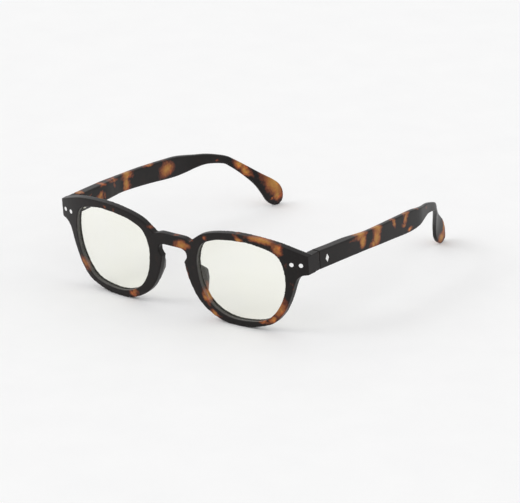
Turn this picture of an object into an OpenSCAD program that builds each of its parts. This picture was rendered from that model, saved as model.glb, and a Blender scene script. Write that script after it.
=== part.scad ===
// Screen glasses: keyhole-bridge front, two lenses, two folding temples on sprung hinges.
// Everything is drawn in the front's own frame, then tilted onto the table:
// x across the face, y back along the temples, z up, y = 0 on the face of the bridge.

/* [Front] */
// Half of the width across the end pieces
half_w = 70.5; // [68:0.5:73]
// Thickness of the front
front_t = 3.4; // [3.2:0.1:4]
// How far the face falls back at its ends in a shallow bow
bow_sag = 2.3; // [1.5:0.1:3]
// How far the ends of the face sweep back beyond that bow
end_sweep = 5.7; // [4.5:0.1:6.5]
// Forward lean of the front when the glasses stand on a table, in degrees
lean = 4.6; // [3:0.1:6]
// Height that the nose pads rise behind the rims
pad_rise = 5.8; // [5:0.1:6.2]
// Diameter of the dot rivets on the face
rivet_d = 2; // [1.6:0.1:2.4]

/* [Lenses] */
// Thickness of a lens
lens_t = 1.3; // [1.2:0.1:1.5]
// Depth of the lens behind the face
lens_depth = 1.5; // [1.3:0.1:1.6]
// How far the lens reaches into the rim groove
lens_lip = 0.6; // [0.4:0.1:0.8]

/* [Temples] */
// Thickness of the slim part of a temple
temple_t = 2.7; // [2.4:0.1:3]
// Distance from the face of the bridge to the joint of the temples
joint_y = 16.6; // [16.2:0.1:17.4]
// Width of the silver diamond on each temple
diamond_w = 2.2; // [1.6:0.1:2.6]
// Height of the silver diamond on each temple
diamond_h = 4; // [3:0.1:4.4]

/* [Hinges] */
// Diameter of the hinge knuckles
knuckle_d = 2.4; // [2.4:0.1:2.6]
// Diameter of the pivot screws
pivot_d = 1.1; // [1:0.1:1.2]

/* [Hidden] */
$fn = 48;

// Standing height and depth of the bridge's face point
stand_z = 22.1;
stand_y = -73.3;

// ---- Outlines of the front, x and z of the right half seen from the front ----
brow = [
    [0, 15.3], [3.5, 15.4], [7, 15.2], [10, 14.3], [12.3, 16], [17.3, 19.3], [25, 21.6],
    [35, 22.9], [45.5, 22.7], [55.5, 21.3], [63, 19.1], [70.5, 16.3]
];
cheek = [
    [70.5, 7.5], [67.4, 6.8], [65, 4.8], [63.5, 1.2], [61.7, -4.3], [58.3, -11.8],
    [53.6, -17.4], [48.5, -19.9], [39.6, -22], [27.7, -21.8], [18.6, -18], [12.8, -12.7],
    [9, -5.7], [7.2, 0], [6.5, 3.6]
];
keyhole = [[6.5, 3.6], [8, 6.2], [7.6, 8.5], [5.3, 9.7], [2.8, 9.9], [0, 9.9]];
eye = [
    [59.6, 3.8], [56.4, 15.2], [44.8, 19.2], [35.9, 19.4], [29.3, 18.8], [23.1, 17.4],
    [16.9, 14.1], [14, 7.5], [14, 0.3], [15.7, -7.1], [20.4, -14.2], [28.5, -18.4],
    [38.3, -19.1], [49.6, -16.6], [57, -7.7]
];
eye_mid = [36, 1];

// ---- Temple stations: middle x, y and z, half height, half thickness, roll in degrees ----
joint_gap = 0.15;
block_t = 4.5;
arm = [
    [68.05, 14, 11.7, 4.5, block_t / 2, 0],
    [68.9, 26, 10.5, 4.4, block_t / 2, 0],
    [69.5, 37, 9.4, 4.35, block_t / 2, 0],
    [70.1, 44, 8.55, 4.35, (block_t + temple_t) / 4, 0],
    [70.6, 51, 7.7, 4.35, temple_t / 2, 0],
    [70.55, 62, 6.3, 4.55, temple_t / 2, 0],
    [70, 73, 4.75, 4.75, temple_t / 2, 0],
    [69.4, 82, 3.35, 4.95, temple_t / 2, 0],
    [68.75, 90, 2.2, 4.95, temple_t / 2, 0],
    [67.9, 97, 1.2, 4.2, temple_t / 2, 0],
    [66.5, 102.5, 0.7, 3.3, 1.2, 0],
    [64.3, 109.5, -0.2, 2.5, 1.1, 2],
    [61.5, 118.7, -3.4, 2, 1, 7],
    [59.6, 122.6, -6.3, 2.05, 1, 4],
    [56.4, 127.2, -10.9, 2.4, 1, -4],
    [52.6, 132.8, -17.1, 3.2, 1, -11],
    [50.4, 136.8, -22.1, 4.6, 0.95, -11],
    [49.4, 139.3, -25.6, 5.4, 0.95, -6],
    [48.9, 141.2, -28.4, 5.1, 0.9, 0],
    [48.7, 142.5, -30.4, 4.2, 0.85, 4],
    [48.6, 143.5, -31.9, 2.9, 0.8, 7],
    [48.6, 144.1, -33, 1.3, 0.7, 9]
];

// ---- Hinge places, on the +x side ----
pivot_x = 65;
pivot_z = 11.8;
knuckle_h = 1.5;
knuckle_gap = 0.08;
hinge_half = 1.5 * knuckle_h + 2 * knuckle_gap + 0.15;
run = 0.05;
screw_head_h = 0.5;
leaf_t = 1;
leaf_y = 10.4;
leaf_screw_y = 12.3;
return_in = pivot_x + knuckle_d / 2;
housing_x = [pivot_x + 2.3, pivot_x + 4.9];
housing_y = [joint_y + 1.7, joint_y + 11.7];
housing_h = 4.2;
housing_wall = 0.9;
rod_x = pivot_x + 3.6;
rod_d = 0.9;
bore_d = 1.96;
coil_r = 0.68;
collar_d = 1.7;
collar_l = 0.9;
spring_wire = 0.26;
spring_turns = 7;
collar_y = housing_y[1] - housing_wall - collar_l - 1.35;
screw_d = 1;
screw_head_d = 1.9;

// Depth of the face at x
function face_y(x) = bow_sag * pow(x / half_w, 2) + end_sweep * pow(x / half_w, 4);
function face_slope(x) = (2 * bow_sag * x / half_w + 4 * end_sweep * pow(x / half_w, 3)) / half_w;
// Point at x on a surface that lies a depth d behind the face, along its normal
function behind(x, d) =
    let (s = face_slope(x), n = sqrt(1 + s * s))
    [x - d * s / n, face_y(x) + d / n];

// Smooth curve through points (Catmull-Rom), open, with n steps per span
function blend(a, b, c, d, t) =
    0.5 * (2 * b + (c - a) * t + (2 * a - 5 * b + 4 * c - d) * t * t
        + (3 * b - a - 3 * c + d) * t * t * t);
function at(p, i) =
    i < 0 ? 2 * p[0] - p[1] : i >= len(p) ? 2 * p[len(p) - 1] - p[len(p) - 2] : p[i];
function smooth(p, n = 5) = concat(
    [for (i = [0 : len(p) - 2], k = [0 : n - 1])
        blend(at(p, i - 1), at(p, i), at(p, i + 1), at(p, i + 2), k / n)],
    [p[len(p) - 1]]);
function smooth_ring(p, n = 6) =
    [for (i = [0 : len(p) - 1], k = [0 : n - 1])
        blend(p[(i + len(p) - 1) % len(p)], p[i], p[(i + 1) % len(p)],
            p[(i + 2) % len(p)], k / n)];
function flip_x(p) = [for (i = [len(p) - 1 : -1 : 0]) [-p[i][0], p[i][1]]];
function widen(p) = [for (q = p) [q[0] * half_w / 70.5, q[1]]];
// Ring of points moved outward from its middle by d
function grown(p, mid, d) = [for (q = p) q + d * (q - mid) / norm(q - mid)];

half_outline = widen(concat(smooth(brow), smooth(cheek), smooth(keyhole)));
lens_outline = widen(smooth_ring(eye));
rest_x = half_w - 70.5;

// Stand the front's frame on the table
module stand() {
    translate([0, stand_y, stand_z])
        rotate([lean, 0, 0])
            children();
}

// Extrude an x-z outline along y
module along_y(y0, y1) {
    translate([0, y1, 0])
        rotate([90, 0, 0])
            linear_extrude(height = y1 - y0)
                children();
}

// Curved slab that follows the face between two depths
module face_slab(d0, d1, reach, low, high) {
    steps = 48;
    xs = [for (i = [0 : steps]) -reach + 2 * reach * i / steps];
    near = [for (x = xs) behind(x, d0)];
    far = [for (i = [steps : -1 : 0]) behind(xs[i], d1)];
    translate([0, 0, low])
        linear_extrude(height = high - low)
            polygon(concat(near, far));
}

module rod_along_x(x0, x1, y, z, d) {
    translate([x0, y, z])
        rotate([0, 90, 0])
            cylinder(h = x1 - x0, d = d);
}

module rod_along_y(y0, y1, x, z, d) {
    translate([x, y0, z])
        rotate([-90, 0, 0])
            cylinder(h = y1 - y0, d = d);
}

module box_between(a, b) {
    translate(a)
        cube(b - a);
}

module both_sides() {
    children();
    mirror([1, 0, 0])
        children();
}

// The hinge corner moves with the width of the front
module at_hinge() {
    translate([rest_x, 0, 0])
        children();
}

// ---- Front ----
module nose_pad() {
    back = front_t + pad_rise - 1.4;
    hull() {
        translate([10, 2.2, 2.6])
            sphere(d = 3, $fn = 24);
        translate([12.2, back, -2.4])
            sphere(d = 2.8, $fn = 24);
        translate([12.6, back, -5.6])
            sphere(d = 2.8, $fn = 24);
        translate([13.6, back - 2.4, -9.8])
            sphere(d = 2.8, $fn = 24);
        translate([14.8, 2.4, -13])
            sphere(d = 3, $fn = 24);
        translate([11.4, 2, -5])
            sphere(d = 3.6, $fn = 24);
    }
}

module end_return() {
    intersection() {
        face_slab(0.6, 20, half_w + 8, -25, 25);
        at_hinge()
            translate([return_in, 0, 0])
                rotate([90, 0, 90])
                    linear_extrude(height = 70.5 - return_in)
                        polygon([[3, 7.5], [7.8, 7.5], [joint_y, 6.95], [joint_y, 15.9],
                            [7.8, 16.3], [3, 16.3]]);
    }
}

module hinge_clearance(r, z0, z1) {
    at_hinge()
        translate([pivot_x, joint_y, z0])
            cylinder(h = z1 - z0, r = r);
}

module rivet(x, grow) {
    translate([x + rest_x, face_y(x), 12.1])
        rotate([-90, 0, atan(face_slope(x))]) {
            translate([0, 0, -0.1])
                cylinder(h = 0.6 + grow, d = rivet_d);
            cylinder(h = 3 + grow, d = rivet_d * 0.6);
        }
}

module leaf_screw(grow) {
    at_hinge() {
        rod_along_x(return_in - leaf_t, return_in - 0.5, leaf_screw_y, pivot_z, screw_head_d);
        rod_along_x(return_in - 0.6, return_in + 3.5 + grow, leaf_screw_y, pivot_z, screw_d);
    }
}

module front_frame() {
    color([0.14, 0.11, 0.1])
        stand()
            difference() {
                union() {
                    intersection() {
                        along_y(-1, 18)
                            polygon(concat(half_outline, flip_x(half_outline)));
                        face_slab(0, front_t, half_w + 4, -25, 25);
                    }
                    both_sides() {
                        end_return();
                        nose_pad();
                    }
                }
                both_sides() {
                    along_y(-2, 14)
                        polygon(lens_outline);
                    intersection() {
                        along_y(-2, 14)
                            polygon(grown(lens_outline, eye_mid, lens_lip + 0.1));
                        face_slab(lens_depth - 0.05, lens_depth + lens_t + 0.05, half_w, -25, 25);
                    }
                    hinge_clearance(knuckle_d / 2 + 0.15, pivot_z - hinge_half,
                        pivot_z + hinge_half + screw_head_h);
                    rivet(67.4, 0.1);
                    rivet(63.2, 0.1);
                    leaf_screw(0.1);
                }
            }
}

module lens() {
    intersection() {
        along_y(-2, 14)
            polygon(grown(lens_outline, eye_mid, lens_lip));
        face_slab(lens_depth, lens_depth + lens_t, half_w, -25, 25);
    }
}

module lens_left() {
    color([0.97, 0.97, 0.9, 0.35])
        stand()
            lens();
}

module lens_right() {
    color([0.97, 0.97, 0.9, 0.35])
        stand()
            mirror([1, 0, 0])
                lens();
}

module front_rivets() {
    color([0.93, 0.93, 0.93])
        stand()
            both_sides() {
                rivet(67.4, 0);
                rivet(63.2, 0);
            }
}

// ---- Hinge pieces, drawn on the +x side ----
module hinge_leaf() {
    z_low = pivot_z - 1.5 * knuckle_h - knuckle_gap;
    z_high = pivot_z + 0.5 * knuckle_h + knuckle_gap;
    slot_h = knuckle_h + 2 * knuckle_gap;
    difference() {
        union() {
            box_between([return_in - leaf_t, leaf_y, z_low],
                [return_in, joint_y + 0.3, z_high + knuckle_h]);
            translate([pivot_x, joint_y, z_low])
                cylinder(h = z_high + knuckle_h - z_low, d = knuckle_d);
        }
        translate([pivot_x, joint_y, z_low - 1])
            cylinder(h = 3 * knuckle_h + 3, d = pivot_d);
        translate([0, joint_y - knuckle_d / 2 - 0.2, pivot_z - slot_h / 2])
            cube([80, 4, slot_h]);
        rod_along_x(return_in - leaf_t - 1, return_in - 0.5, leaf_screw_y, pivot_z, screw_head_d);
        rod_along_x(return_in - leaf_t, return_in + 1, leaf_screw_y, pivot_z, screw_d);
    }
}

module pivot_screw() {
    z_low = pivot_z - 1.5 * knuckle_h - knuckle_gap;
    span = 3 * knuckle_h + 2 * knuckle_gap;
    translate([pivot_x, joint_y, z_low - 0.15])
        cylinder(h = span + 0.15, d = pivot_d);
    translate([pivot_x, joint_y, z_low + span])
        difference() {
            cylinder(h = 0.4, d = pivot_d + 0.6);
            translate([-2, -0.1, 0.25])
                cube([4, 0.2, 1]);
        }
}

module spring_slider() {
    z = pivot_z - knuckle_h / 2;
    difference() {
        union() {
            translate([pivot_x, joint_y, z])
                cylinder(h = knuckle_h, d = knuckle_d);
            box_between([pivot_x, joint_y + 0.3, z],
                [rod_x + 0.8, housing_y[0] - 0.05, z + knuckle_h]);
            rod_along_y(housing_y[0] - 0.3, collar_y + collar_l, rod_x, pivot_z, rod_d);
        }
        translate([pivot_x, joint_y, z - 1])
            cylinder(h = knuckle_h + 2, d = pivot_d + 2 * run);
    }
}

module slider_collar() {
    difference() {
        rod_along_y(collar_y, collar_y + collar_l, rod_x, pivot_z, collar_d);
        rod_along_y(collar_y - 1, collar_y + collar_l + 1, rod_x, pivot_z, rod_d);
    }
}

// Coil spring around the slider's rod: rings of a round wire along a helix
module flex_spring() {
    sides = 6;
    per_turn = 10;
    rings = spring_turns * per_turn;
    y0 = housing_y[0] + housing_wall + spring_wire / 2 + 0.02;
    y1 = collar_y - spring_wire / 2 - 0.02;
    points = [for (i = [0 : rings], k = [0 : sides - 1])
        let (turn = 360 * i / per_turn, side = 360 * k / sides,
            r = coil_r + spring_wire / 2 * cos(side))
        [rod_x + r * cos(turn), y0 + (y1 - y0) * i / rings + spring_wire / 2 * sin(side),
            pivot_z + r * sin(turn)]];
    walls = [for (i = [0 : rings - 1], k = [0 : sides - 1])
        let (a = i * sides + k, b = i * sides + (k + 1) % sides)
        each [[a, a + sides, b + sides], [a, b + sides, b]]];
    ends = [
        [for (k = [0 : sides - 1]) k],
        [for (k = [sides - 1 : -1 : 0]) rings * sides + k]
    ];
    polyhedron(points, concat(walls, ends));
}

module hinge_housing() {
    difference() {
        box_between([housing_x[0], housing_y[0], pivot_z - housing_h / 2],
            [housing_x[1], housing_y[1], pivot_z + housing_h / 2]);
        rod_along_y(housing_y[0] - 1, housing_y[1] - 2, rod_x, pivot_z, rod_d + 2 * run);
        rod_along_y(housing_y[0] + housing_wall, housing_y[1] - housing_wall, rod_x, pivot_z, bore_d);
    }
}

// ---- Temple, drawn on the +x side ----
arm_path = smooth(arm, 4);

function unit(v) = v / norm(v);
function place_of(st, i) = [st[i][0], st[i][1], st[i][2]];
// Rounded upright ring round station i, square to the run of the arm
function arm_ring(st, i) =
    let (run_to = unit(place_of(st, min(i + 1, len(st) - 1)) - place_of(st, max(i - 1, 0))),
        out = unit([run_to[1], -run_to[0], 0]),
        up = cross(out, run_to),
        roll = st[i][5],
        side = out * cos(roll) + up * sin(roll),
        rise = up * cos(roll) - out * sin(roll),
        h = st[i][3],
        t = st[i][4])
    [for (q = [0 : 3], k = [0 : 2])
        let (turn = 90 * q + 45 * k,
            sx = (q == 0 || q == 3) ? 1 : -1,
            sz = q < 2 ? 1 : -1,
            r = min(sx > 0 ? 0.4 : 0.7, 0.6 * t, 0.8 * h))
        place_of(st, i) + side * (sx * (t - r) + r * cos(turn))
            + rise * (sz * (h - r) + r * sin(turn))];

// Temple arm as one skin over its rings
module temple_arm() {
    n = 12;
    last = len(arm_path) - 1;
    points = [for (i = [0 : last]) each arm_ring(arm_path, i)];
    skin = [for (i = [0 : last - 1], k = [0 : n - 1])
        let (a = i * n + k, b = i * n + (k + 1) % n)
        each [[a, b + n, a + n], [a, b, b + n]]];
    ends = [
        [for (k = [n - 1 : -1 : 0]) k],
        [for (k = [0 : n - 1]) last * n + k]
    ];
    polyhedron(points, concat(skin, ends));
}

function outer_x(y) = lookup(y, [for (q = arm_path) [q[1], q[0] + q[4]]]);
module diamond(grow) {
    y = 21.8;
    slope = atan((outer_x(y + 1) - outer_x(y - 1)) / 2);
    translate([outer_x(y), y, 10.8])
        rotate([0, 90, -slope])
            translate([0, 0, -0.4 - grow])
                linear_extrude(height = 0.5 + grow)
                    polygon([[-diamond_h / 2, 0], [0, -diamond_w / 2],
                        [diamond_h / 2, 0], [0, diamond_w / 2]]);
}

module temple() {
    pocket = 0.05;
    slot_half = knuckle_h / 2 + 0.15;
    difference() {
        temple_arm();
        translate([0, joint_y + joint_gap - 40, -40])
            cube([90, 40, 80]);
        box_between([housing_x[0] - pocket, joint_y, pivot_z - housing_h / 2 - pocket],
            [housing_x[1] + pocket, housing_y[1] + pocket, pivot_z + housing_h / 2 + pocket]);
        box_between([pivot_x - 2, joint_y, pivot_z - slot_half],
            [housing_x[1], housing_y[0] + 0.2, pivot_z + slot_half]);
        translate([pivot_x, joint_y, pivot_z - hinge_half])
            cylinder(h = 2 * hinge_half + screw_head_h, r = knuckle_d / 2 + 0.15);
        diamond(0.02);
    }
}

module on_side(left) {
    stand()
        mirror([left ? 0 : 1, 0, 0])
            at_hinge()
                children();
}

module hinge_leaf_left() { color("silver") on_side(true) hinge_leaf(); }
module hinge_leaf_right() { color("silver") on_side(false) hinge_leaf(); }
module leaf_screws() { color("gainsboro") stand() both_sides() leaf_screw(0); }
module pivot_screw_left() { color("gainsboro") on_side(true) pivot_screw(); }
module pivot_screw_right() { color("gainsboro") on_side(false) pivot_screw(); }
module spring_slider_left() { color("silver") on_side(true) spring_slider(); }
module spring_slider_right() { color("silver") on_side(false) spring_slider(); }
module slider_collar_left() { color("gainsboro") on_side(true) slider_collar(); }
module slider_collar_right() { color("gainsboro") on_side(false) slider_collar(); }
module flex_spring_left() { color("gray") on_side(true) flex_spring(); }
module flex_spring_right() { color("gray") on_side(false) flex_spring(); }
module hinge_housing_left() { color("silver") on_side(true) hinge_housing(); }
module hinge_housing_right() { color("silver") on_side(false) hinge_housing(); }
module temple_left() { color([0.22, 0.17, 0.14]) on_side(true) temple(); }
module temple_right() { color([0.22, 0.17, 0.14]) on_side(false) temple(); }
module diamond_inlay_left() { color([0.85, 0.85, 0.85]) on_side(true) diamond(0); }
module diamond_inlay_right() { color([0.85, 0.85, 0.85]) on_side(false) diamond(0); }

front_frame();
lens_left();
lens_right();
front_rivets();
hinge_leaf_left();
hinge_leaf_right();
leaf_screws();
pivot_screw_left();
pivot_screw_right();
spring_slider_left();
spring_slider_right();
slider_collar_left();
slider_collar_right();
flex_spring_left();
flex_spring_right();
hinge_housing_left();
hinge_housing_right();
temple_left();
temple_right();
diamond_inlay_left();
diamond_inlay_right();
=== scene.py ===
from math import cos, radians, sin

import bmesh
import bpy
from mathutils import Matrix, Vector


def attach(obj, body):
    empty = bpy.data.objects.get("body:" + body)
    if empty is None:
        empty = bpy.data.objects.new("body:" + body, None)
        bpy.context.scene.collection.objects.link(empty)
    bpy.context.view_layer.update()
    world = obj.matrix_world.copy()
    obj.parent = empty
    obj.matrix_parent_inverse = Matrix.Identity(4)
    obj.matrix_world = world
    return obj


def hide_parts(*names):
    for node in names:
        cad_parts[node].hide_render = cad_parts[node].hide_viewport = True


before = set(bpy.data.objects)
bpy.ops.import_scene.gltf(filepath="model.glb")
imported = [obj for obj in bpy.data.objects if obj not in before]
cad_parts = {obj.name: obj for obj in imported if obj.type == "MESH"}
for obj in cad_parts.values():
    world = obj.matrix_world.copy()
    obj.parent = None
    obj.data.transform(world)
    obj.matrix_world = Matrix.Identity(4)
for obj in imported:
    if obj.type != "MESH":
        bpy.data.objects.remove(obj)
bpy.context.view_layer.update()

# ---- Front ----
# One piece of satin tortoise plastic: two rims, a keyhole bridge, moulded nose pads and the
# two end pieces that the temples close against. Its edges are tumbled until they are soft,
# and its amber patches run right through the sheet.
MM = 0.001
LEAN = radians(4.6)
FOOT = (0, -73.3 * MM, 22.1 * MM)
EYE_MIDDLE = Vector((36, 0, 1))
PATCH_SPREAD = 1.45
PATCH_WANDER = 3.2
RAGGED_EDGE = 0.5
SATIN_ROUGHNESS = 0.36
SATIN_VARIES = 0.14
NEAR_BLACK = (0.0085, 0.0066, 0.0062)


def material(name):
    """An empty node material with its output and one Principled shader."""
    mat = bpy.data.materials.new(name)
    mat.use_nodes = True
    return mat, mat.node_tree.nodes, mat.node_tree.links, mat.node_tree.nodes["Principled BSDF"]


def glasses_grid(nodes, links):
    """Millimetres along the face, back from it and up, with the front's lean taken out."""
    place = nodes.new("ShaderNodeTexCoord")
    grid = nodes.new("ShaderNodeMapping")
    grid.vector_type = "TEXTURE"
    grid.inputs["Location"].default_value = FOOT
    grid.inputs["Rotation"].default_value = (LEAN, 0, 0)
    grid.inputs["Scale"].default_value = (MM, MM, MM)
    links.new(place.outputs["Object"], grid.inputs["Vector"])
    return grid.outputs["Vector"]


def grain(nodes, links, at, scale, detail=3.0):
    """Soft random grain, with scale in spots per millimetre."""
    noise = nodes.new("ShaderNodeTexNoise")
    noise.inputs["Scale"].default_value = scale
    noise.inputs["Detail"].default_value = detail
    links.new(at, noise.inputs["Vector"])
    return noise


def reckon(nodes, links, work, a, b=0, c=0):
    """A Math node of up to three values, each a socket or a number."""
    sum_of = nodes.new("ShaderNodeMath")
    sum_of.operation = work
    for slot, value in zip(sum_of.inputs, (a, b, c)):
        if isinstance(value, (int, float)):
            slot.default_value = value
        else:
            links.new(value, slot)
    return sum_of.outputs[0]


def vector_step(nodes, links, work, a, b=None):
    """A Vector Math node of two vectors, each a socket or three numbers."""
    step = nodes.new("ShaderNodeVectorMath")
    step.operation = work
    for slot, value in zip(step.inputs, (a, b)):
        if isinstance(value, tuple):
            slot.default_value = value
        elif value is not None:
            links.new(value, slot)
    return step


def zone(nodes, links, at, middle, half, turn=(0, 0, 0)):
    """Distance from a middle, 1 at the half sizes of an upright or turned ellipsoid."""
    blob = nodes.new("ShaderNodeMapping")
    blob.vector_type = "TEXTURE"
    blob.inputs["Location"].default_value = middle
    blob.inputs["Rotation"].default_value = turn
    blob.inputs["Scale"].default_value = half
    links.new(at, blob.inputs["Vector"])
    return vector_step(nodes, links, "LENGTH", blob.outputs["Vector"]).outputs["Value"]


def ramp(nodes, links, value, stops):
    """Colours laid out along a value."""
    band = nodes.new("ShaderNodeValToRGB")
    rows = band.color_ramp.elements
    while len(rows) < len(stops):
        rows.new(0.5)
    for row, (spot, colour) in zip(rows, stops):
        row.position = spot
        row.color = (*colour, 1)
    links.new(value, band.inputs[0])
    return band.outputs["Color"]


def tortoise(name, patches):
    """Near-black brown with listed amber and red-brown patches.

    A patch is its middle (x, y, z), its half sizes, its turn in degrees as seen from the
    front or from the side, and how far it has faded: 0 is clear amber, 0.6 is dark red.
    """
    mat, nodes, links, skin = material(name)
    grid = glasses_grid(nodes, links)
    drift = grain(nodes, links, grid, 0.15, 3.5)
    drift.inputs["Roughness"].default_value = 0.62
    centred = vector_step(nodes, links, "MULTIPLY_ADD", drift.outputs["Color"],
                          (2 * PATCH_WANDER,) * 3)
    centred.inputs[2].default_value = (-PATCH_WANDER,) * 3
    warped = vector_step(nodes, links, "ADD", grid, centred.outputs[0]).outputs[0]
    nearest = 3.0
    for middle, half, turn, faded in patches:
        reach = zone(nodes, links, warped, middle, [h * PATCH_SPREAD for h in half],
                     [radians(t) for t in turn])
        far = reckon(nodes, links, "ADD", reach, faded)
        nearest = reckon(nodes, links, "MINIMUM", nearest, far)
    ragged = grain(nodes, links, grid, 0.75, 4.0)
    edge = reckon(nodes, links, "MULTIPLY_ADD", ragged.outputs["Fac"], RAGGED_EDGE,
                  -RAGGED_EDGE / 2)
    depth = reckon(nodes, links, "ADD", nearest, edge)
    colour = ramp(nodes, links, depth, [
        (0.0, (0.46, 0.235, 0.056)),
        (0.3, (0.39, 0.17, 0.037)),
        (0.55, (0.27, 0.088, 0.027)),
        (0.75, (0.115, 0.03, 0.014)),
        (0.97, NEAR_BLACK),
    ])
    cloud = grain(nodes, links, grid, 0.28, 3.0)
    veil = ramp(nodes, links, cloud.outputs["Fac"], [
        (0.0, (0.8, 0.8, 0.8)), (0.55, (1, 1, 1)), (0.75, (1.7, 1.25, 1.1)),
    ])
    tint = nodes.new("ShaderNodeMix")
    tint.data_type = "RGBA"
    tint.blend_type = "MULTIPLY"
    tint.inputs["Factor"].default_value = 1
    links.new(colour, tint.inputs[6])
    links.new(veil, tint.inputs[7])
    links.new(tint.outputs[2], skin.inputs["Base Color"])
    satin = grain(nodes, links, grid, 6.0, 3.0)
    links.new(reckon(nodes, links, "MULTIPLY_ADD", satin.outputs["Fac"], SATIN_VARIES,
                     SATIN_ROUGHNESS), skin.inputs["Roughness"])
    pores = nodes.new("ShaderNodeBump")
    pores.inputs["Strength"].default_value = 0.12
    pores.inputs["Distance"].default_value = 0.02 * MM
    links.new(satin.outputs["Fac"], pores.inputs["Height"])
    links.new(pores.outputs["Normal"], skin.inputs["Normal"])
    skin.inputs["Specular IOR Level"].default_value = 0.2
    skin.inputs["Sheen Weight"].default_value = 0.12
    skin.inputs["Sheen Roughness"].default_value = 0.35
    return mat


def painted_sheen_zones(mat):
    """Painted sheen: paler colour added on the nose pads and on the walls of the lens openings that
    face the eye middle, in place of grazing light.
    """
    nodes, links = mat.node_tree.nodes, mat.node_tree.links
    skin = nodes["Principled BSDF"]
    grid = glasses_grid(nodes, links)
    both_sides = vector_step(nodes, links, "ABSOLUTE", grid).outputs[0]
    reach = zone(nodes, links, both_sides, (12, 9.5, 4.5), (5, 5.2, 10))
    on_pad = ramp(nodes, links, reach, [(0.72, (1, 1, 1)), (0.98, (0, 0, 0))])
    split = nodes.new("ShaderNodeSeparateXYZ")
    links.new(grid, split.inputs[0])
    side = reckon(nodes, links, "SIGN", split.outputs["X"])
    middle = nodes.new("ShaderNodeCombineXYZ")
    links.new(reckon(nodes, links, "MULTIPLY", side, EYE_MIDDLE.x), middle.inputs["X"])
    links.new(split.outputs["Y"], middle.inputs["Y"])
    middle.inputs["Z"].default_value = EYE_MIDDLE.z
    inward = vector_step(nodes, links, "SUBTRACT", middle.outputs[0], grid).outputs[0]
    unit = vector_step(nodes, links, "NORMALIZE", inward).outputs[0]
    place = nodes.new("ShaderNodeTexCoord")
    facing = vector_step(nodes, links, "DOT_PRODUCT", unit, place.outputs["Normal"])
    on_wall = ramp(nodes, links, facing.outputs["Value"], [(0.6, (0, 0, 0)), (0.85, (0.8, 0.8, 0.8))])
    sheen_mask = reckon(nodes, links, "MAXIMUM", on_pad, on_wall)
    # Painted sheen: a pale grey added to the base colour where the pads and the inward walls catch
    # grazing light.
    painted_sheen = nodes.new("ShaderNodeMix")
    painted_sheen.data_type = "RGBA"
    painted_sheen.blend_type = "ADD"
    links.new(sheen_mask, painted_sheen.inputs["Factor"])
    links.new(skin.inputs["Base Color"].links[0].from_socket, painted_sheen.inputs[6])
    painted_sheen.inputs[7].default_value = (0.085, 0.085, 0.08, 1)
    links.new(painted_sheen.outputs[2], skin.inputs["Base Color"])
    return mat


def face_patch(x, z, half_x, half_z, turn=0, faded=0, y=1.5, half_y=4):
    """A patch in the front, seen from the front; turn lifts its +x end."""
    return (x, y, z), (half_x, half_y, half_z), (0, -turn, 0), faded


def tumble(piece, voxel, rounds):
    """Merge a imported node, wrap it in an even skin and rub its edges soft."""
    weld = piece.modifiers.new("merge", "WELD")
    weld.merge_threshold = 0.01 * MM
    skin = piece.modifiers.new("even skin", "REMESH")
    skin.mode = "VOXEL"
    skin.voxel_size = voxel * MM
    skin.use_smooth_shade = True
    rub = piece.modifiers.new("rubbed edges", "SMOOTH")
    rub.factor = 0.5
    rub.iterations = rounds


def finish(piece, mat):
    """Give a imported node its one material."""
    piece.data.materials.clear()
    piece.data.materials.append(mat)


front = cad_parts["front_frame"]
tumble(front, 0.3, 5)
# The nose pads and the inward walls of the openings get painted sheen on top of the tortoise.
finish(front, painted_sheen_zones(tortoise("front tortoise", [
    face_patch(5.6, 11.8, 4.4, 1.9, 8),
    face_patch(9.6, 12.6, 2.4, 1.5, 10, 0.5),
    face_patch(1.5, 15.9, 5, 0.8, 0, 0.5),
    face_patch(10.6, 15.8, 3, 1.4, -12, 0.3),
    face_patch(19.5, 18.4, 2, 1.5, 60, 0.45),
    face_patch(37.4, 21.4, 3, 1.6, -42, 0.1),
    face_patch(44.4, 21, 2.5, 1.3, 10, 0.5),
    face_patch(50.2, 22.2, 7.2, 2, -8),
    face_patch(57.3, 18.7, 2.4, 2.6, -30),
    face_patch(64.5, 17.8, 3.6, 0.9, -18, 0.6),
    face_patch(60, 11, 0.9, 3, 8, 0.35),
    face_patch(63.3, 0.3, 1.2, 4.5, 12, 0.15, 2.5, 3),
    face_patch(57, -10, 2.8, 5.4, -25),
    face_patch(52.6, -16.2, 2.6, 1.9, 42, 0.1),
    face_patch(50.4, -17.7, 1.8, 1.3, 30, 0.5),
    face_patch(46, -18, 8, 1, 6, 0.3, 3.4, 1.6),
    face_patch(17.4, -11.8, 1.5, 3.6, 32, 0, 2.2, 3),
    face_patch(22.4, -18.3, 2.8, 1.5, -24, 0.1),
    face_patch(13.9, -8.5, 1.8, 3, 20, 0.1, 5, 2.2),
    face_patch(8, -0.4, 1.1, 4.2, 10, 0.3, 2, 2.6),
    face_patch(-61.9, 2, 1.3, 4.2, -12, 0.45),
    face_patch(-56.3, -11.3, 1.7, 4, 36),
    face_patch(-24.4, -18.7, 3.3, 1.7, 14, 0.2),
    face_patch(-38.5, 21, 2, 1.6, 20, 0.55),
    face_patch(-33.4, 20.8, 1.6, 1.8, -20, 0.58),
    face_patch(-12.2, 17.3, 1.7, 2.3, 45, 0.35),
    face_patch(-12.6, -8.5, 1.9, 3.4, -20, 0.35, 3.6, 2.6),
    face_patch(-67.6, 16.2, 1.3, 0.8, 0, 0.1, 13.5, 1.6),
])))

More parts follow.
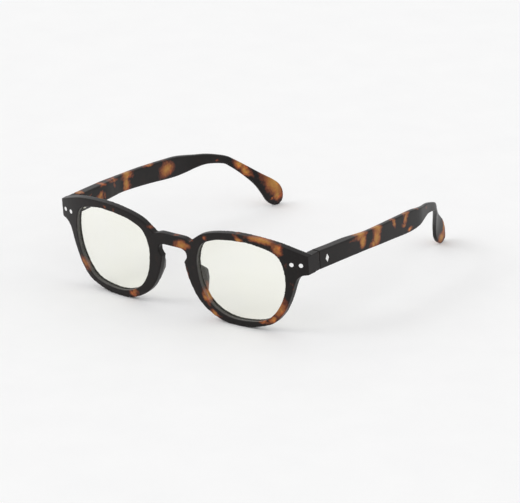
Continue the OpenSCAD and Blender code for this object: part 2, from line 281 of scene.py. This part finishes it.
# ---- Lenses ----
# Pale clear lenses with a faint yellow cast, 1.3 mm thick, curved like the face of the front.
# Each one is edged to the opening and snaps into a groove cut round the rim.
EYE = [
    (59.6, 3.8), (56.4, 15.2), (44.8, 19.2), (35.9, 19.4), (29.3, 18.8), (23.1, 17.4),
    (16.9, 14.1), (14, 7.5), (14, 0.3), (15.7, -7.1), (20.4, -14.2), (28.5, -18.4),
    (38.3, -19.1), (49.6, -16.6), (57, -7.7),
]
LENS_LIP = 0.55
LENS_DEPTH = 1.5
LENS_THICK = 1.3
GROOVE_SLACK = 0.02
HALF_WIDTH = 70.5
BOW_DEPTH = 2.3
END_SWEEP = 5.7
RING_STEPS = 8


def round_ring(corners, steps):
    """A closed smooth curve through the corners, as (x, z) pairs."""
    ring = []
    count = len(corners)
    for i in range(count):
        a, b, c, d = (Vector(corners[(i + k) % count]) for k in (-1, 0, 1, 2))
        for k in range(steps):
            t = k / steps
            ring.append(0.5 * (2 * b + (c - a) * t + (2 * a - 5 * b + 4 * c - d) * t ** 2
                               + (3 * b - a - 3 * c + d) * t ** 3))
    return ring


def face_fall(x):
    """How far the face lies back at x, in millimetres."""
    share = x / HALF_WIDTH
    return BOW_DEPTH * share ** 2 + END_SWEEP * share ** 4


def lens_glass():
    """Clear glass with a faint yellow cast and a bluish shine that grows at a slant."""
    mat, nodes, links, skin = material("pale lens")
    out = nodes["Material Output"]
    nodes.remove(skin)
    grid = glasses_grid(nodes, links)
    clear = nodes.new("ShaderNodeBsdfTransparent")
    haze = grain(nodes, links, grid, 0.06, 1.0)
    cast = ramp(nodes, links, haze.outputs["Fac"], [
        (0.3, (1, 1, 0.958)), (0.7, (0.998, 1, 0.966)),
    ])
    links.new(cast, clear.inputs["Color"])
    shine = nodes.new("ShaderNodeBsdfGlossy")
    shine.inputs["Roughness"].default_value = 0.04
    bloom = ramp(nodes, links, haze.outputs["Fac"], [
        (0.3, (0.72, 0.78, 1)), (0.7, (0.86, 0.8, 1)),
    ])
    links.new(bloom, shine.inputs["Color"])
    graze = nodes.new("ShaderNodeLayerWeight")
    graze.inputs["Blend"].default_value = 0.5
    steep = reckon(nodes, links, "POWER", graze.outputs["Facing"], 4.0)
    mixed = nodes.new("ShaderNodeMixShader")
    links.new(reckon(nodes, links, "MULTIPLY_ADD", steep, 0.3, 0.012), mixed.inputs[0])
    links.new(clear.outputs[0], mixed.inputs[1])
    links.new(shine.outputs[0], mixed.inputs[2])
    links.new(mixed.outputs[0], out.inputs["Surface"])
    return mat


def stand(bm):
    """Lean a piece made in the front's own frame and set it on the table, in metres."""
    bmesh.ops.scale(bm, vec=(MM, MM, MM), verts=bm.verts)
    place = Matrix.Translation(FOOT) @ Matrix.Rotation(LEAN, 4, "X")
    bmesh.ops.transform(bm, matrix=place, verts=bm.verts)


def piece_from(bm, name, mat, body, slot, *nodes):
    """Turn a bmesh into a named piece that rides on a body and stands for CAD nodes."""
    bmesh.ops.recalc_face_normals(bm, faces=bm.faces)
    for face in bm.faces:
        face.smooth = True
    mesh = bpy.data.meshes.new(name)
    bm.to_mesh(mesh)
    bm.free()
    mesh.materials.append(mat)
    piece = bpy.data.objects.new(name, mesh)
    bpy.context.scene.collection.objects.link(piece)
    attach(piece, body)
    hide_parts(*nodes)
    return piece


def lens(side, mat):
    """One lens, built as the left one; side is -1 to mirror it for the right."""
    bm = bmesh.new()
    ring = [bm.verts.new((p.x, 0, p.y)) for p in round_ring(EYE, RING_STEPS)]
    for v in ring:
        v.co += (v.co - EYE_MIDDLE).normalized() * LENS_LIP
    edges = [bm.edges.new((ring[i - 1], ring[i])) for i in range(len(ring))]
    held = 1.0
    for share in (0.985, 0.93, 0.84, 0.72, 0.58, 0.43, 0.28, 0.14, 0.04):
        grown = bmesh.ops.extrude_edge_only(bm, edges=edges)["geom"]
        inner = [g for g in grown if isinstance(g, bmesh.types.BMVert)]
        edges = [g for g in grown if isinstance(g, bmesh.types.BMEdge)]
        bmesh.ops.scale(bm, vec=[share / held] * 3, verts=inner,
                        space=Matrix.Translation(-EYE_MIDDLE))
        held = share
    bmesh.ops.pointmerge(bm, verts=inner, merge_co=EYE_MIDDLE)
    for v in bm.verts:
        v.co.y = face_fall(v.co.x) + LENS_DEPTH + GROOVE_SLACK
    bmesh.ops.recalc_face_normals(bm, faces=bm.faces)
    bm.faces.ensure_lookup_table()
    if bm.faces[0].normal.y > 0:
        bmesh.ops.reverse_faces(bm, faces=bm.faces)
    bmesh.ops.solidify(bm, geom=bm.faces[:], thickness=LENS_THICK - 2 * GROOVE_SLACK)
    bmesh.ops.scale(bm, vec=(side, 1, 1), verts=bm.verts)
    stand(bm)
    word = "left" if side > 0 else "right"
    return piece_from(bm, f"lens_blank_{word}", mat, "front", "lens", f"lens_{word}")


pale_glass = lens_glass()
for side in (1, -1):
    lens(side, pale_glass)

# ---- Rivets ----
# Four small polished pins with flat round heads, two at each end of the face. They are pressed
# into blind holes and only trim the front.


def metal(name, light, dark, rough, streaks, bump=0.1):
    """Metal with fine marks; streaks is the grain along x, y and z per millimetre."""
    mat, nodes, links, skin = material(name)
    grid = glasses_grid(nodes, links)
    comb = nodes.new("ShaderNodeMapping")
    comb.inputs["Scale"].default_value = streaks
    links.new(grid, comb.inputs["Vector"])
    marks = grain(nodes, links, comb.outputs["Vector"], 1.0, 4.0)
    links.new(ramp(nodes, links, marks.outputs["Fac"], [(0.3, dark), (0.7, light)]),
              skin.inputs["Base Color"])
    links.new(reckon(nodes, links, "MULTIPLY_ADD", marks.outputs["Fac"], 0.16, rough - 0.08),
              skin.inputs["Roughness"])
    scuffs = nodes.new("ShaderNodeBump")
    scuffs.inputs["Strength"].default_value = bump
    scuffs.inputs["Distance"].default_value = 0.01 * MM
    links.new(marks.outputs["Fac"], scuffs.inputs["Height"])
    links.new(scuffs.outputs["Normal"], skin.inputs["Normal"])
    skin.inputs["Metallic"].default_value = 1
    return mat


def machined(piece, edge, mat):
    """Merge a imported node, break its sharp edges and give it its metal."""
    weld = piece.modifiers.new("merge", "WELD")
    weld.merge_threshold = 0.005 * MM
    broken = piece.modifiers.new("broken edges", "BEVEL")
    broken.width = edge * MM
    broken.segments = 2
    broken.limit_method = "ANGLE"
    broken.angle_limit = radians(40)
    finish(piece, mat)


machined(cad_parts["front_rivets"], 0.08,
         metal("polished rivet", (0.97, 0.97, 0.96), (0.86, 0.86, 0.86), 0.2, (3, 3, 3)))

# ---- Hinges ----
# Plated hinge leaves screwed to the end pieces, pivot screws, and the sprung half pressed hot
# into each temple: an eye on a rod that slides in a small housing against a coil spring.
plated = metal("plated hinge metal", (0.66, 0.64, 0.6), (0.52, 0.5, 0.47), 0.32, (1.5, 9, 9))
steel = metal("bright screw steel", (0.74, 0.74, 0.74), (0.58, 0.58, 0.59), 0.26, (7, 7, 7))
wire = metal("drawn spring wire", (0.56, 0.56, 0.58), (0.4, 0.4, 0.42), 0.3, (8, 2, 8))
for side in ("left", "right"):
    for part in ("hinge_leaf", "spring_slider", "hinge_housing", "slider_collar"):
        machined(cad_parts[f"{part}_{side}"], 0.06, plated)
    machined(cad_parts[f"pivot_screw_{side}"], 0.04, steel)
    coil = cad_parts[f"flex_spring_{side}"]
    merged = coil.modifiers.new("merge", "WELD")
    merged.merge_threshold = 0.005 * MM
    finish(coil, wire)
machined(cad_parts["leaf_screws"], 0.04, steel)

# ---- Temples ----
# Slim satin tortoise arms, 4.5 mm thick where they meet the front and 2.7 mm along the side of
# the head. They bend down and in behind the ear and end in a slightly twisted paddle.


def side_patch(y, z, half_y, half_z, turn=0, faded=0):
    """A patch in a temple, seen from its side; it runs through the temple's thickness."""
    return (0, y, z), (400, half_y, half_z), (turn, 0, 0), faded


left_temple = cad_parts["temple_left"]
right_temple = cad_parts["temple_right"]
for arm in (left_temple, right_temple):
    tumble(arm, 0.26, 5)
finish(left_temple, tortoise("left temple tortoise", [
    side_patch(40.5, 11.8, 4.5, 1.6, 0, 0.6),
    side_patch(46.6, 12.6, 4.4, 1.9),
    side_patch(48.2, 9.3, 2.3, 2.9),
    side_patch(59.6, 11, 3.3, 2.4),
    side_patch(58, 7.2, 2.7, 4.2, -10),
    side_patch(55.8, 4.2, 2.7, 1.6, 0, 0.15),
    side_patch(71.5, 10.2, 2, 1.6, 0, 0.3),
    side_patch(73.4, 7.8, 1.8, 2.6, 20, 0.2),
    side_patch(85.2, 8.7, 3, 1.6, 0, 0.1),
    side_patch(83.7, 6.2, 1.8, 3, -25, 0.1),
    side_patch(81.3, 3.2, 2.4, 1.5, 0, 0.25),
    side_patch(87.2, -0.8, 2.2, 1.3, 0, 0.05),
    side_patch(95, 6.6, 4, 0.8, -12, 0.5),
    side_patch(106, 2, 3, 1.4, 0, 0.55),
    side_patch(141.5, -30.5, 3.5, 2.6),
    side_patch(143.6, -25, 1.4, 5, 0, 0.1),
]))
finish(right_temple, tortoise("right temple tortoise", [
    side_patch(18.6, 16, 2.2, 0.8, 0, 0.1),
    side_patch(24, 12.6, 3.2, 0.9, -6, 0.45),
    side_patch(31.5, 9.3, 2.4, 1.9, 0, 0.1),
    side_patch(35, 8.8, 1.4, 2.2, 0, 0.45),
    side_patch(34, 14, 3.2, 1, 0, 0.35),
    side_patch(43.5, 12.9, 4.2, 1, -6, 0.2),
    side_patch(44.6, 10, 1.6, 2.4, 0, 0.45),
    side_patch(54.8, 10.8, 4.2, 1.8),
    side_patch(53.4, 7, 2.4, 4.2),
    side_patch(72, 10, 4, 0.9, -6),
    side_patch(78.5, 9.2, 3, 0.8, -8, 0.15),
    side_patch(78.3, 4.2, 2, 3.4, 0, 0.4),
    side_patch(82.6, 3.4, 4.8, 3.4, 0, 0.02),
    side_patch(114, -2.7, 2, 0.9, 0, 0.5),
    side_patch(124.6, -7.2, 2.2, 3.4, 40),
    side_patch(127.8, -11, 1.8, 3.8, 40, 0.05),
    side_patch(140.8, -21.5, 4.3, 8.5, 28),
    side_patch(141.5, -27.5, 2.6, 3),
    side_patch(137.6, -28.6, 1.2, 1.2, 0, 0.35),
]))

# ---- Diamond inlays ----
# A plain polished silver diamond let into the outer side of each temple, just behind the hinge.
# It is pressed into a shallow pocket and stands a hair proud.
silver = metal("silver inlay", (0.93, 0.93, 0.92), (0.78, 0.78, 0.77), 0.24, (2, 6, 2))
for side in ("left", "right"):
    machined(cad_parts[f"diamond_inlay_{side}"], 0.04, silver)

# ---- Studio ----
# A wide pale floor, even white light from all round and one soft lamp in front, on the wearer's
# right.
bm = bmesh.new()
bmesh.ops.create_grid(bm, x_segments=8, y_segments=8, size=3)
floor_mesh = bpy.data.meshes.new("studio_floor")
bm.to_mesh(floor_mesh)
bm.free()
floor = bpy.data.objects.new("studio_floor", floor_mesh)
bpy.context.scene.collection.objects.link(floor)
mat, nodes, links, skin = material("pale floor")
place = nodes.new("ShaderNodeTexCoord")
paper = grain(nodes, links, place.outputs["Object"], 40, 4.0)
links.new(ramp(nodes, links, paper.outputs["Fac"], [
    (0.3, (0.925, 0.925, 0.927)), (0.7, (0.94, 0.94, 0.94)),
]), skin.inputs["Base Color"])
skin.inputs["Roughness"].default_value = 0.9
skin.inputs["Specular IOR Level"].default_value = 0.1
floor_mesh.materials.append(mat)

sky = bpy.data.worlds.new("studio light")
sky.use_nodes = True
sky.node_tree.nodes["Background"].inputs["Color"].default_value = (1, 1, 1, 1)
sky.node_tree.nodes["Background"].inputs["Strength"].default_value = 0.935
bpy.context.scene.world = sky

lamp_data = bpy.data.lights.new("soft lamp", "SUN")
lamp_data.energy = 0.35
lamp_data.angle = radians(24)
lamp = bpy.data.objects.new("soft lamp", lamp_data)
lamp.rotation_euler = Vector((-0.66, -0.75, 0.9)).to_track_quat("Z", "Y").to_euler()
bpy.context.scene.collection.objects.link(lamp)

# ---- Camera ----
# A long lens in front of the wearer and to their left, a little above the table.
AZIMUTH = radians(37.107)
ELEVATION = radians(20.22)
ROLL = radians(-1.075)
AIM = Vector((17.44 * MM, -31.15 * MM, 20 * MM))
DISTANCE = 1.5685
lens_data = bpy.data.cameras.new("view")
lens_data.lens = 236.7
lens_data.sensor_width = 36
lens_data.clip_end = 20
view = bpy.data.objects.new("view", lens_data)
toward = Vector((sin(AZIMUTH) * cos(ELEVATION), -cos(AZIMUTH) * cos(ELEVATION), sin(ELEVATION)))
turned = (Matrix.Rotation(AZIMUTH, 4, "Z") @ Matrix.Rotation(radians(90) - ELEVATION, 4, "X")
          @ Matrix.Rotation(ROLL, 4, "Z"))
view.matrix_world = Matrix.Translation(AIM + toward * DISTANCE) @ turned
bpy.context.scene.collection.objects.link(view)
bpy.context.scene.camera = view
bpy.context.scene.view_settings.view_transform = "Standard"
